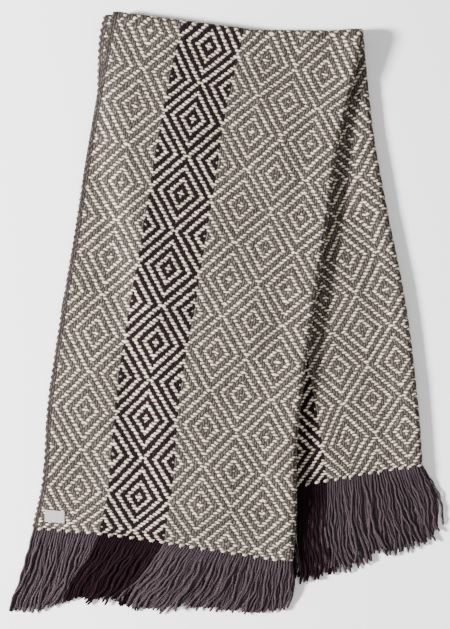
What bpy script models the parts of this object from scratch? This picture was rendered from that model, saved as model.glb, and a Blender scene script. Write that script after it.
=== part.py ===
"""A handwoven wool blanket with a fringe at both ends, lying folded on a flat surface.

It is folded in half lengthwise, its two selvedges at the left, and the doubled strip is then folded
across at the top, so that its front half lies over its back half and both run down from the fold.
Metres, +Z up. The origin is the middle of the outline, on the surface that the blanket lies on.
"""

from random import Random

import bmesh
import bpy
import numpy as np

MM = 0.001

# Yarn and cloth: one woven diamond takes 24 warp yarns and 24 weft yarns
DIAMOND_WIDE = 24 * 5.0 * MM
DIAMOND_LONG = 24 * 6.2 * MM
CLOTH_LENGTH = 13.0 * DIAMOND_LONG
THICK = 5.5 * MM
LAYER_GAP = 2.0 * MM
LAYER_STEP = THICK + LAYER_GAP
PIECE_GAP = 0.3 * MM
STRIP_GAP = 0.5 * MM

# Lengthwise fold: half the height of its bulge at the edge, and how far in the bulge reaches
EDGE_RADIUS = 7.0 * MM
EDGE_EASE = 60.0 * MM
EDGE_START = THICK / 2 + EDGE_RADIUS

# Fold across: radius of its half turn, and the stretch in which the roll settles to lie flat
TURN_RADIUS = 12.0 * MM
TURN_QUARTER = TURN_RADIUS * np.pi / 2
TURN_EASE = 80.0 * MM
TURN_BLEND = 300.0 * MM
TURN_RIM = (LAYER_STEP + THICK) / 2
FOLD_LINE = (  # x, y of the top outline, millimetres
    (-400, 617),
    (-219, 599),
    (14, 567),
    (60, 561),
    (270, 559),
    (420, 557),
)

# The doubled strip, section by section; a section is one weft yarn, seen from above.
# distance from the front hem along the cloth, middle x, middle y, weft slope in degrees, width
FRONT = (
    (0, -112, -430, -8.4, 498),
    (82, -105, -360, -8.0, 487),
    (231, -101, -208, -8.6, 483),
    (380, -82, -59, -10.2, 482),
    (528, -60, 83, -11.0, 482),
    (677, -38, 228, -11.4, 485),
    (826, -15, 378, -12.9, 483),
    (975, 16, 523, -14.4, 489),
    (1040, 30, 588, -14.8, 491),
    (1140, 46, 684, -15.0, 489),
)
BACK = (
    (840, 14, 752, 7.4, 492),
    (975, 28, 617, 7.4, 492),
    (1124, 40, 470, 7.4, 489),
    (1272, 52, 323, 7.5, 486),
    (1421, 75, 173, 7.5, 486),
    (1570, 103, 25, 7.5, 486),
    (1719, 122, -115, 7.4, 485),
    (1868, 134, -252, 7.4, 484),
    (1935, 137, -321, 7.5, 486),
)
# distance from the front hem, how far the inner layer's selvedge stays inside the outer one's
INSET = (
    (0, 4),
    (700, 4),
    (880, 0),
    (975, -16),
    (1010, -16),
    (1250, 12),
    (1935, 38),
)

# Relief of the top layer: height, length and width of its soft waves
WAVE_HEIGHT = 2.4 * MM
WAVE_LONG = 330.0 * MM
WAVE_WIDE = 170.0 * MM
WAVE_CLEAR = 70.0 * MM

# Fringe: locks of warp yarn on a narrow strip of woven heading
STRIP_DEEP = 8.0 * MM
LOCK_PITCH = 11.0 * MM
LOCK_WIDE = 4.2 * MM
LOCK_THICK = 4.0 * MM
LOCK_TIP = 0.8
LOCK_FALL = 45.0 * MM
LOCK_WAVE = 3.0 * MM
LOCK_WAVE_LONG = 95.0 * MM
LOCK_WAVE_WIDE = 210.0 * MM
LOCK_STEPS = (0.14, 0.38, 0.68, 1.0)
LOCK_UNEVEN = 0.07
# share of the strip's width from the selvedges, lean in degrees from straight down, lock length
FRONT_LOCKS = (
    (0.0, -17, 172),
    (0.25, -18, 146),
    (0.5, -18, 126),
    (0.75, -14, 106),
    (1.0, -6, 84),
)
BACK_LOCKS = (
    (0.0, -6, 176),
    (0.3, -4, 180),
    (0.6, -1, 170),
    (0.8, 7, 152),
    (1.0, 20, 124),
)

# What the front half lies on: the back half, then its fringe, then the bare surface
FRINGE_CLEAR = 6.5 * MM
DROP_SIDE = 70.0 * MM
DROP_HEM = 60.0 * MM
HOLD_HEM = 24.0 * MM
DROP_FRINGE = 45.0 * MM
FRINGE_REACH = 188.0 * MM

# Label: a small woven rectangle sewn on near the front hem's left corner
LABEL_WIDE = 38.0 * MM
LABEL_DEEP = 24.0 * MM
LABEL_THICK = 1.0 * MM
LABEL_FROM_SELVEDGE = 34.0 * MM
LABEL_FROM_HEM = 17.0 * MM
LABEL_TURN = np.radians(4.0)

# Mesh density
LAYER_CELLS = 13
ARC_CELLS = 4
FRONT_CELLS = 16
BACK_CELLS = 14
TURN_CELLS = 6
EASE_ROWS = (0.0, 22.0 * MM, 45.0 * MM, 68.0 * MM)

# Middle of the outline in the sections' own coordinates
MIDDLE_X = 1.9 * MM
MIDDLE_Y = 13.3 * MM


def smooth(value):
    """Eases from 0 to 1 as the value goes from 0 to 1."""
    value = np.clip(value, 0.0, 1.0)
    return value * value * (3.0 - 2.0 * value)


def read_table(table, column, station):
    """A smooth curve through one column of a table, read at the stations; both in the table's units."""
    stops = np.array([row[0] for row in table], dtype=float)
    values = np.array([row[column] for row in table], dtype=float)
    slopes = np.gradient(values, stops)
    low = np.clip(np.searchsorted(stops, station) - 1, 0, len(stops) - 2)
    span = stops[low + 1] - stops[low]
    share = (station - stops[low]) / span
    square, cube = share**2, share**3
    return (
        (2 * cube - 3 * square + 1) * values[low]
        + (cube - 2 * square + share) * span * slopes[low]
        + (3 * square - 2 * cube) * values[low + 1]
        + (cube - square) * span * slopes[low + 1]
    )


def strip_width(sections, along):
    return read_table(sections, 4, along / MM) * MM


def section_point(sections, inward, along):
    """Where the strip lies before it is turned over; inward is the distance from its folded edge."""
    station = along / MM
    slope = np.radians(read_table(sections, 3, station))
    from_middle = strip_width(sections, along) / 2 - inward
    x = read_table(sections, 1, station) * MM + from_middle * np.cos(slope)
    y = read_table(sections, 2, station) * MM + from_middle * np.sin(slope)
    return x, y


def fold_height(x):
    """The y of the fold across, at each x."""
    return np.interp(x / MM, [row[0] for row in FOLD_LINE], [row[1] for row in FOLD_LINE]) * MM


def crossing(sections, inward, low, high, rising):
    """The distance along the cloth at which a warp yarn meets the fold line."""
    low = np.full_like(inward, low)
    high = np.full_like(inward, high)
    for _ in range(40):
        middle = (low + high) / 2
        x, y = section_point(sections, inward, middle)
        beyond = (y > fold_height(x)) == rising
        high = np.where(beyond, middle, high)
        low = np.where(beyond, low, middle)
    return (low + high) / 2


def front_crossing(inward):
    return crossing(FRONT, inward, 0.80, 1.139, True)


def back_crossing(inward):
    return crossing(BACK, inward, 0.841, 1.30, False)


def bulge(inward):
    """Half the distance between the strip's two layers: wide at the folded edge, close elsewhere."""
    ease = smooth((inward - EDGE_START) / EDGE_EASE)
    return EDGE_RADIUS + (LAYER_STEP / 2 - EDGE_RADIUS) * ease


def support(x, y):
    """Height of what lies under the front half, at each place."""
    station = np.array([row[0] for row in BACK[1:]]) * MM
    wide = strip_width(BACK, station)
    left_x, left_y = section_point(BACK, wide, station)
    right_x, right_y = section_point(BACK, 0.0 * wide, station)
    past_left = np.interp(-y, -left_y, left_x) - x
    inside_right = np.interp(-y, -right_y, right_x) - x
    hem_slope = (right_y[-1] - left_y[-1]) / (right_x[-1] - left_x[-1])
    past_hem = left_y[-1] + hem_slope * (x - left_x[-1]) - y
    on_cloth = LAYER_STEP + 2 * bulge(inside_right) - FRINGE_CLEAR
    on_fringe = FRINGE_CLEAR * (1 - smooth((past_hem - FRINGE_REACH) / DROP_FRINGE))
    height = on_fringe + on_cloth * (1 - smooth((past_hem - HOLD_HEM) / DROP_HEM))
    return height * (1 - smooth(past_left / DROP_SIDE))


def waves(x, y, inward, below_fold):
    """Soft relief of the top layer, flat towards its edges, its folds and its hem."""
    turn = np.radians(-10.0)
    across = x * np.cos(turn) + y * np.sin(turn)
    down = y * np.cos(turn) - x * np.sin(turn)
    relief = 1 + np.sin(2 * np.pi * across / WAVE_WIDE) * np.cos(2 * np.pi * down / WAVE_LONG)
    hem_y = FRONT[0][2] * MM
    calm = smooth((inward - EDGE_START) / WAVE_CLEAR) * smooth(below_fold / TURN_EASE)
    calm = calm * smooth((y - hem_y) / WAVE_CLEAR)
    return WAVE_HEIGHT / 2 * relief * calm


def lay(inward, rise, along):
    """Points of the folded blanket.

    inward: distance from the strip's folded edge; rise: height over the strip's middle, towards the
    outer layer; along: distance from the front hem, measured on the cloth.
    """
    inward, rise, along = np.broadcast_arrays(inward, rise, along)
    front_turn = front_crossing(inward)
    back_turn = back_crossing(inward)
    is_front = along < front_turn

    front_x, front_y = section_point(FRONT, inward, np.minimum(along, front_turn))
    fade = 1 - smooth((along - front_turn) / TURN_BLEND)
    back_x, back_y = section_point(BACK, inward, along + (back_turn - front_turn) * fade)
    start_x = section_point(FRONT, inward, front_turn)[0]
    end_x = section_point(BACK, inward, back_turn)[0]
    back_x = back_x + (start_x - end_x) * fade
    back_y = back_y + (fold_height(start_x) - fold_height(end_x)) * fade

    x = np.where(is_front, front_x, back_x)
    y = np.where(is_front, front_y, back_y)
    top = fold_height(x)
    below = np.maximum(top - y, 0.0)
    half = bulge(inward)
    side = np.where(is_front, 1.0, -1.0)

    angle = np.minimum(below / TURN_RADIUS, np.pi / 2)
    turned_y = top - TURN_RIM - TURN_RADIUS * (1 - np.cos(angle))
    turned_z = THICK / 2 + half + TURN_RADIUS * (1 + side * np.sin(angle))
    flat = below > TURN_QUARTER
    flat_y = y + TURN_QUARTER - TURN_RADIUS - TURN_RIM

    under = support(x, flat_y)
    near = LAYER_STEP + 2 * half
    under = near + (under - near) * np.clip((below - TURN_QUARTER) / TURN_EASE, 0, 1)
    roll = 2 * TURN_RADIUS - near
    settle = 1 - smooth((below - TURN_QUARTER) / TURN_EASE)
    front_z = under + THICK / 2 + half + roll * settle
    lift = waves(x, flat_y, inward, below - TURN_QUARTER) * (0.5 + rise / (2 * half))
    flat_z = np.where(is_front, front_z + lift, THICK / 2 + half)

    point_y = np.where(flat, flat_y, turned_y + rise * np.cos(angle))
    point_z = np.where(flat, flat_z + side * rise, turned_z + rise * side * np.sin(angle))
    return np.stack((x - MIDDLE_X, point_y - MIDDLE_Y, point_z), axis=-1)


def arc_stations():
    """The half turn of the lengthwise fold, as (inward, rise), from the outer layer to the inner one."""
    angles = np.linspace(np.pi / 2, -np.pi / 2, ARC_CELLS + 1)
    return [(EDGE_START - EDGE_RADIUS * np.cos(a), EDGE_RADIUS * np.sin(a)) for a in angles]


def grid_mesh(name, columns, rows):
    """A plain grid as a bmesh, with each vertex's column and row number."""
    mesh = bmesh.new()
    bmesh.ops.create_grid(mesh, x_segments=columns, y_segments=rows, size=0.5)
    column = {v: round((v.co.x + 0.5) * columns) for v in mesh.verts}
    row = {v: round((v.co.y + 0.5) * rows) for v in mesh.verts}
    return mesh, column, row


def add_object(name, mesh, thick, colour, roughness, collection):
    """Turns the sheet into an object, gives it its thickness and its material."""
    bmesh.ops.recalc_face_normals(mesh, faces=mesh.faces)
    data = bpy.data.meshes.new(name)
    mesh.to_mesh(data)
    mesh.free()
    thing = bpy.data.objects.new(name, data)
    collection.objects.link(thing)
    solid = thing.modifiers.new("Thickness", "SOLIDIFY")
    solid.thickness = thick
    solid.offset = 0.0
    solid.use_even_offset = False
    material = bpy.data.materials.new(name)
    material.use_nodes = True
    shader = material.node_tree.nodes["Principled BSDF"]
    shader.inputs["Base Color"].default_value = (*colour, 1.0)
    shader.inputs["Roughness"].default_value = roughness
    shader.inputs["Metallic"].default_value = 0.0
    data.materials.append(material)
    return thing


def cloth_sheet():
    """The whole woven cloth, from selvedge to selvedge round both folds."""
    arc = arc_stations()
    columns = 2 * LAYER_CELLS + ARC_CELLS
    rows = FRONT_CELLS + 2 * (len(EASE_ROWS) - 1) + TURN_CELLS + BACK_CELLS
    mesh, column, row = grid_mesh("cloth", columns, rows)
    verts = list(mesh.verts)
    i = np.array([column[v] for v in verts])
    j = np.array([row[v] for v in verts])

    outer_share = np.clip(1 - i / LAYER_CELLS, 0, 1)
    inner_share = np.clip((i - LAYER_CELLS - ARC_CELLS) / LAYER_CELLS, 0, 1)
    arc_step = np.clip(i - LAYER_CELLS, 0, ARC_CELLS)
    along = np.full(len(verts), 0.5)
    # The rows follow the fold line, which crosses the cloth aslant, so each depends on its column
    for _ in range(3):
        wide = np.where(along < 1.02, strip_width(FRONT, np.minimum(along, 1.13)),
                        strip_width(BACK, np.maximum(along, 0.85)))
        inset = read_table(INSET, 1, along / MM) * MM
        inward = np.array([arc[k][0] for k in arc_step])
        inward = inward + outer_share * (wide - EDGE_START) + inner_share * (wide - inset - EDGE_START)
        along = row_stations(j, front_crossing(inward))
    half = bulge(inward)
    rise = np.where(i <= LAYER_CELLS, half, np.where(i >= LAYER_CELLS + ARC_CELLS, -half, 0))
    on_arc = (i > LAYER_CELLS) & (i < LAYER_CELLS + ARC_CELLS)
    rise = np.where(on_arc, np.array([arc[k][1] for k in arc_step]), rise)
    for vert, point in zip(verts, lay(inward, rise, along)):
        vert.co = point
    return mesh


def row_stations(row, turn):
    """Distance from the front hem of each row, where the warp yarn turns over at the given distance."""
    quarter = TURN_QUARTER / 0.97
    eased = len(EASE_ROWS) - 1
    stations = np.zeros_like(turn)
    first = FRONT_CELLS + eased
    last = first + TURN_CELLS
    front_flat = turn - quarter - EASE_ROWS[-1]
    back_flat = turn + quarter + EASE_ROWS[-1]
    stations = np.where(row <= FRONT_CELLS, front_flat * row / FRONT_CELLS, stations)
    for step in range(1, eased + 1):
        stations = np.where(row == FRONT_CELLS + step, turn - quarter - EASE_ROWS[eased - step], stations)
        stations = np.where(row == last + step, turn + quarter + EASE_ROWS[step], stations)
    turning = (row > first) & (row <= last)
    stations = np.where(turning, turn - quarter + 2 * quarter * (row - first) / TURN_CELLS, stations)
    share = (row - last - eased) / BACK_CELLS
    return np.where(share > 0, back_flat + (CLOTH_LENGTH - back_flat) * share, stations)


def fringe_sheet(sections, end, outward, locks, seed):
    """One end's fringe: a narrow strip round the lengthwise fold, cut into a comb of locks.

    end is where the cloth stops, outward is -1 at the front hem and +1 at the back hem.
    """
    dice = Random(seed)
    wide = float(strip_width(sections, np.array(end)))
    inner = wide - float(read_table(INSET, 1, end / MM)) * MM
    outer_count = int((wide - EDGE_START) / LOCK_PITCH)
    inner_count = int((inner - EDGE_START - LOCK_PITCH / 2) / LOCK_PITCH)
    outer_places = [EDGE_START + (k + 0.3) * LOCK_PITCH for k in range(outer_count)]
    inner_places = [EDGE_START + (k + 0.8) * LOCK_PITCH for k in range(inner_count)]

    # Column edges from the outer layer's selvedge round the fold to the inner layer's selvedge
    edges = [(wide, 1.0)]
    lock_columns = {}
    for place in reversed(outer_places):
        lock_columns[len(edges)] = (place, 1.0)
        edges += [(place + LOCK_WIDE / 2, 1.0), (place - LOCK_WIDE / 2, 1.0)]
    arc_first = len(edges)
    edges += [(inward, rise / EDGE_RADIUS) for inward, rise in arc_stations()]
    arc_last = len(edges) - 1
    for place in inner_places:
        lock_columns[len(edges)] = (place, -1.0)
        edges += [(place - LOCK_WIDE / 2, -1.0), (place + LOCK_WIDE / 2, -1.0)]
    edges.append((inner, -1.0))

    mesh, column, row = grid_mesh("fringe", len(edges) - 1, 1 + len(LOCK_STEPS))
    gaps = [f for f in mesh.faces
            if min(row[v] for v in f.verts) >= 1 and min(column[v] for v in f.verts) not in lock_columns]
    bmesh.ops.delete(mesh, geom=gaps, context="FACES")
    loose = [v for v in mesh.verts if not v.link_faces]
    bmesh.ops.delete(mesh, geom=loose, context="VERTS")

    inward = np.array([edge[0] for edge in edges])
    share = np.array([edge[1] for edge in edges])
    rise = share * bulge(inward)
    rise[arc_first:arc_last + 1] = share[arc_first:arc_last + 1] * EDGE_RADIUS
    rooted = lay(inward, rise, end + outward * STRIP_GAP)
    rim = lay(inward, rise, end + outward * STRIP_DEEP)
    lengths = {c: lock_length(locks, place / wide, dice) for c, (place, _) in lock_columns.items()}
    for vert in mesh.verts:
        step = row[vert]
        if step == 0:
            vert.co = rooted[column[vert]]
        elif step == 1:
            vert.co = rim[column[vert]]
        else:
            first = column[vert] if column[vert] in lock_columns else column[vert] - 1
            hand = (1 if column[vert] > first else -1) * lock_columns[first][1]
            start = (rim[first] + rim[first + 1]) / 2
            across = 1 - lock_columns[first][0] / wide
            travelled = lengths[first] * LOCK_STEPS[step - 2]
            vert.co = lock_point(locks, start, across, travelled, lengths[first], hand, outward)
    return mesh


def lock_length(locks, inward_share, dice):
    plain = float(read_table(locks, 2, np.array(1 - inward_share))) * MM
    return plain * (1 + dice.uniform(-LOCK_UNEVEN, LOCK_UNEVEN))


def lock_point(locks, start, across, travelled, length, hand, outward):
    """A corner of a lock: it leaves the strip, falls to what it lies on and waves a little."""
    lean = np.radians(float(read_table(locks, 1, np.array(across))))
    wave = 2 * np.pi * (travelled / LOCK_WAVE_LONG + across * 0.49 / LOCK_WAVE_WIDE)
    aside = LOCK_WAVE * np.sin(wave) * travelled / length
    half = LOCK_WIDE / 2 * (1 + (LOCK_TIP - 1) * travelled / length)
    x = start[0] + travelled * np.sin(lean) + (aside + hand * half) * np.cos(lean)
    y = start[1] - travelled * np.cos(lean) + (aside + hand * half) * np.sin(lean)
    under, under_start = 0.0, 0.0
    if outward < 0:
        under = float(support(np.array(x + MIDDLE_X), np.array(y + MIDDLE_Y)))
        under_start = float(support(np.array(start[0] + MIDDLE_X), np.array(start[1] + MIDDLE_Y)))
    drop = (start[2] - under_start - LOCK_THICK / 2) * (1 - smooth(travelled / LOCK_FALL))
    return x, y, under + LOCK_THICK / 2 + float(drop)


def label_sheet():
    """The blank label, a little above the cloth that it is sewn to."""
    columns, rows = 3, 2
    mesh, column, row = grid_mesh("label", columns, rows)
    hem_width = float(strip_width(FRONT, np.array(LABEL_FROM_HEM)))
    over = THICK / 2 + PIECE_GAP + LABEL_THICK / 2
    for vert in mesh.verts:
        wide = (column[vert] / columns - 0.5) * LABEL_WIDE
        deep = (row[vert] / rows - 0.5) * LABEL_DEEP
        from_selvedge = LABEL_FROM_SELVEDGE + wide * np.cos(LABEL_TURN) - deep * np.sin(LABEL_TURN)
        from_hem = LABEL_FROM_HEM + deep * np.cos(LABEL_TURN) + wide * np.sin(LABEL_TURN)
        inward = np.array(hem_width - from_selvedge)
        point = lay(inward, bulge(inward), np.array(from_hem))
        vert.co = (point[0], point[1], point[2] + over)
    return mesh


def clear_scene():
    for thing in list(bpy.data.objects):
        bpy.data.objects.remove(thing)


def build():
    clear_scene()
    blanket = bpy.data.collections.new("wool_blanket")
    bpy.context.scene.collection.children.link(blanket)
    wool = (0.25, 0.21, 0.19)
    warp = (0.11, 0.085, 0.09)
    white = (0.78, 0.72, 0.70)
    add_object("cloth", cloth_sheet(), THICK, wool, 0.95, blanket)
    front = fringe_sheet(FRONT, 0.0, -1, FRONT_LOCKS, 11)
    add_object("fringe_front", front, LOCK_THICK, warp, 0.95, blanket)
    back = fringe_sheet(BACK, CLOTH_LENGTH, 1, BACK_LOCKS, 23)
    add_object("fringe_back", back, LOCK_THICK, warp, 0.95, blanket)
    add_object("label", label_sheet(), LABEL_THICK, white, 0.6, blanket)


build()
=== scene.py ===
"""A handwoven wool blanket, folded lengthwise and then across, dressed over its CAD solids.

The sections follow the blanket as it is made: the cloth, its fringes, the label sewn on,
then the surface that it lies on, the lights and the camera.
"""

import math
from random import Random

import bmesh
import bpy
import numpy as np
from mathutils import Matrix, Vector


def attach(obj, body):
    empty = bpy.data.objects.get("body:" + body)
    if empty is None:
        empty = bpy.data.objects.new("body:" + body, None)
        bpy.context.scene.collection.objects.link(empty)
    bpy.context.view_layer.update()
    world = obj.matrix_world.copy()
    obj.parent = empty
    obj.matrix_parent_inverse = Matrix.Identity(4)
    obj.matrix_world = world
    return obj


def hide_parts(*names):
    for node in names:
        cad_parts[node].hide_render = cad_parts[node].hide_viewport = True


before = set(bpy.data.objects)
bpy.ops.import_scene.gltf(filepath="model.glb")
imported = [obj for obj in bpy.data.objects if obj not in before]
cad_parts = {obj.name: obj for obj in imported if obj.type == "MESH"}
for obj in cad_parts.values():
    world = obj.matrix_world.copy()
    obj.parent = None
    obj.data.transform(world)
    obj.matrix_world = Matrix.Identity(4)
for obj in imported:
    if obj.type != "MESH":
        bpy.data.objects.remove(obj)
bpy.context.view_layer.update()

# ---- Cloth ---------------------------------------------------------------------------------
# One length of diamond twill in hand-spun wool: cream weft over grey warp, with two dark warp
# stripes. It is folded in half lengthwise, selvedges left, and then across at the top.

MM = 0.001
END_PITCH = 5.0 * MM
PICK_PITCH = 6.2 * MM
ENDS = 198
PICKS = 312
CLOTH_LENGTH = PICKS * PICK_PITCH
THICK = 5.5 * MM
LAYER_GAP = 2.0 * MM
LAYER_STEP = THICK + LAYER_GAP

# Lengthwise fold: half the height of its bulge, and how far in the bulge reaches
EDGE_RADIUS = 7.0 * MM
EDGE_EASE = 60.0 * MM
EDGE_START = THICK / 2 + EDGE_RADIUS
EDGE_ARC = EDGE_RADIUS * np.pi / 2
# distance from the front hem in mm, which warp end lies on the lengthwise fold there
FOLD_ENDS = (
    (0, 100.6),
    (110, 99.8),
    (300, 99.4),
    (500, 98.8),
    (860, 99.6),
    (1000, 100.8),
    (1400, 102.7),
    (1940, 104.6),
)

# Fold across: its half turn, and the stretch in which the roll settles to lie flat
TURN_RADIUS = 12.0 * MM
TURN_QUARTER = TURN_RADIUS * np.pi / 2
TURN_EASE = 80.0 * MM
TURN_BLEND = 300.0 * MM
TURN_RIM = (LAYER_STEP + THICK) / 2
FOLD_LINE = ((-400, 617), (-219, 599), (14, 567), (60, 561), (270, 559), (420, 557))

# The doubled strip as it lies, in mm: distance from the front hem, middle x, middle y,
# weft slope in degrees, width
FRONT = (
    (0, -117, -430, -8.4, 498),
    (82, -107, -360, -8.0, 489),
    (231, -101, -208, -8.6, 483),
    (380, -82, -59, -10.2, 482),
    (528, -60, 83, -11.0, 482),
    (677, -38, 228, -11.4, 485),
    (826, -15, 378, -12.9, 483),
    (975, 16, 523, -14.4, 489),
    (1040, 30, 588, -14.8, 491),
    (1140, 46, 684, -15.0, 489),
)
BACK = (
    (840, 14, 752, 7.4, 492),
    (975, 28, 617, 7.4, 492),
    (1124, 40, 470, 7.4, 489),
    (1272, 52, 323, 7.5, 486),
    (1421, 75, 173, 7.5, 486),
    (1570, 103, 25, 7.5, 486),
    (1719, 122, -115, 7.4, 485),
    (1868, 134, -252, 7.4, 484),
    (1935, 137, -320, 8.6, 486),
)
# distance from the front hem, how far the inner layer's selvedge stays inside the outer one's
INSET = (
    (0, 4),
    (700, 4),
    (830, -2),
    (880, -11),
    (930, -18),
    (975, -17),
    (1010, -12),
    (1250, 12),
    (1940, 38),
)

# How the hand-woven yarns stray from even counts, in mm: distance from the front hem, how far
# the picks lie towards the back hem near the selvedges, in the middle and at the fold
PICK_DRIFT = (
    (0, -12, 1, 0),
    (60, -9, 1, 1),
    (110, -5, 2, 2),
    (190, -3, -2, -1),
    (290, -7, -6, -5),
    (480, -9, -9, -4),
    (580, -8, -7, -4),
    (780, -8, -11, -7),
    (890, -8, -12, -7),
    (980, -8, -14, -9),
    (1180, 0, 0, 0),
    (1940, 0, 0, 0),
)
# distance from the front hem, how far the ends lie towards the outer selvedge
END_DRIFT = (
    (0, 7),
    (110, 6),
    (200, 3),
    (390, 2),
    (580, 0),
    (820, -2),
    (980, -4),
    (1250, -3),
    (1420, -2),
    (1560, 2),
    (1800, 5),
    (1940, 5),
)
# distance from the front hem, how far the second stripe sags towards the back hem and the fold
STRIPE_SAG = (
    (0, 0, 0),
    (1600, 0, 0),
    (1700, 0, 0),
    (1800, 5, 4),
    (1870, 13, 11),
    (1905, 9, 12),
    (1940, 1, 13),
)
# the warp ends over which that sag sets in, and those over which END_DRIFT does
SAG_ENDS = (129, 147)
DRIFT_ENDS = 14
# picks of plain heading past each hem of the chart
HEADING_PICKS = 1

# Soft waves of the top layer
WAVE_HEIGHT = 2.4 * MM
WAVE_LONG = 330.0 * MM
WAVE_WIDE = 170.0 * MM
WAVE_CLEAR = 70.0 * MM
WAVE_TURN = np.radians(-10.0)

# What the front half lies on: the back half, then its fringe, then the bare surface. Height
# over the fringe, and the lengths in which the front half comes down past the side and the hem
FRINGE_CLEAR = 6.5 * MM
DROP_SIDE = 70.0 * MM
DROP_HEM = 60.0 * MM
HOLD_HEM = 24.0 * MM
DROP_FRINGE = 45.0 * MM
FRINGE_REACH = 188.0 * MM

# Where to look for the line on which each half meets the fold across: distances from the
# front hem in metres, and the reach of the warp ends that are followed
FRONT_SEARCH = (0.80, 1.139)
BACK_SEARCH = (0.841, 1.30)
INWARD_REACH = (-0.04, 0.56)
SEARCH_STEPS = 40
# The sections of the front half are read up to the first of these distances, those of the back
# half from the second on, and the cloth's width changes over from one to the other at the third
FRONT_LAST = 1.13
BACK_FIRST = 0.85
HALVES_MEET = 1.0

# Middle of the outline in the sections' own coordinates
MIDDLE_X = 1.9 * MM
MIDDLE_Y = 13.3 * MM

# Chart: a diamond is 24 ends by 24 picks, counted from a diamond's centre
HALF_DIAMOND = 12
CENTRE_END = 15
CENTRE_PICK = 13
STRIPE_ENDS = (39, 159)
TWILL = 4
SELVEDGE_ENDS = 2

# Relief of the yarns over the sheet, and its height, as shares of that, between two yarns that
# lie side by side and along the yarn that shows
YARN_RELIEF = 1.6 * MM
GROOVE = 0.12
CREST = 0.9
# How far from its edges the sheet thins, how far the turning weft draws the selvedges in and
# out, how far the yarns wander, and how near to the edges they stop
EDGE_THIN = 7.0 * MM
SELVEDGE_SCALLOP = 1.8 * MM
WANDER = 1.3 * MM
WANDER_WAVES = 5
CALM_ENDS = 8
CALM_PICKS = 6
# the lowest that the sheet comes over the surface
SURFACE_CLEAR = 0.1 * MM
# threads to one unit of the UV map
UV_THREADS = 320.0


def smooth(value):
    """Eases from 0 to 1 as the value goes from 0 to 1."""
    value = np.clip(value, 0.0, 1.0)
    return value * value * (3.0 - 2.0 * value)


def read_table(table, column, station):
    """A smooth curve through one column of a table, read at the stations."""
    stops = np.array([row[0] for row in table], dtype=float)
    values = np.array([row[column] for row in table], dtype=float)
    slopes = np.gradient(values, stops)
    low = np.clip(np.searchsorted(stops, station) - 1, 0, len(stops) - 2)
    span = stops[low + 1] - stops[low]
    share = (station - stops[low]) / span
    square, cube = share**2, share**3
    return (
        (2 * cube - 3 * square + 1) * values[low]
        + (cube - 2 * square + share) * span * slopes[low]
        + (3 * square - 2 * cube) * values[low + 1]
        + (cube - square) * span * slopes[low + 1]
    )


def strip_width(sections, along):
    """The width of the doubled strip at a distance from the front hem."""
    return read_table(sections, 4, along / MM) * MM


def section_point(sections, inward, along):
    """Where the strip lies before it is turned over; inward is the distance from its fold."""
    station = along / MM
    slope = np.radians(read_table(sections, 3, station))
    from_middle = strip_width(sections, along) / 2 - inward
    x = read_table(sections, 1, station) * MM + from_middle * np.cos(slope)
    y = read_table(sections, 2, station) * MM + from_middle * np.sin(slope)
    return x, y


def fold_height(x):
    """The y of the fold across, at each x."""
    stops = [row[0] for row in FOLD_LINE]
    return np.interp(x / MM, stops, [row[1] for row in FOLD_LINE]) * MM


def crossing(sections, inward, low, high, rising):
    """The distance along the cloth at which a warp end meets the fold line, by halving."""
    low = np.full_like(inward, low)
    high = np.full_like(inward, high)
    for _ in range(SEARCH_STEPS):
        middle = (low + high) / 2
        x, y = section_point(sections, inward, middle)
        beyond = (y > fold_height(x)) == rising
        high = np.where(beyond, middle, high)
        low = np.where(beyond, low, middle)
    return (low + high) / 2


crossing_inward = np.linspace(*INWARD_REACH, 601)
front_crossings = crossing(FRONT, crossing_inward, *FRONT_SEARCH, True)
back_crossings = crossing(BACK, crossing_inward, *BACK_SEARCH, False)


def bulge(inward):
    """Half the distance between the strip's two layers."""
    ease = smooth((inward - EDGE_START) / EDGE_EASE)
    return EDGE_RADIUS + (LAYER_STEP / 2 - EDGE_RADIUS) * ease


def support(x, y):
    """Height of what lies under the front half, at each place of the sections' plan."""
    station = np.array([row[0] for row in BACK[1:]]) * MM
    wide = strip_width(BACK, station)
    left_x, left_y = section_point(BACK, wide, station)
    right_x, right_y = section_point(BACK, 0.0 * wide, station)
    past_left = np.interp(-y, -left_y, left_x) - x
    inside_right = np.interp(-y, -right_y, right_x) - x
    hem_slope = (right_y[-1] - left_y[-1]) / (right_x[-1] - left_x[-1])
    past_hem = left_y[-1] + hem_slope * (x - left_x[-1]) - y
    on_cloth = LAYER_STEP + 2 * bulge(inside_right) - FRINGE_CLEAR
    on_fringe = FRINGE_CLEAR * (1 - smooth((past_hem - FRINGE_REACH) / DROP_FRINGE))
    height = on_fringe + on_cloth * (1 - smooth((past_hem - HOLD_HEM) / DROP_HEM))
    return height * (1 - smooth(past_left / DROP_SIDE))


def waves(x, y, inward, below_fold):
    """Soft relief of the top layer, flat towards its edges, its folds and its hem."""
    across = x * np.cos(WAVE_TURN) + y * np.sin(WAVE_TURN)
    down = y * np.cos(WAVE_TURN) - x * np.sin(WAVE_TURN)
    relief = 1 + np.sin(2 * np.pi * across / WAVE_WIDE) * np.cos(2 * np.pi * down / WAVE_LONG)
    calm = smooth((inward - EDGE_START) / WAVE_CLEAR) * smooth(below_fold / TURN_EASE)
    calm = calm * smooth((y - FRONT[0][2] * MM) / WAVE_CLEAR)
    return WAVE_HEIGHT / 2 * relief * calm


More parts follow.
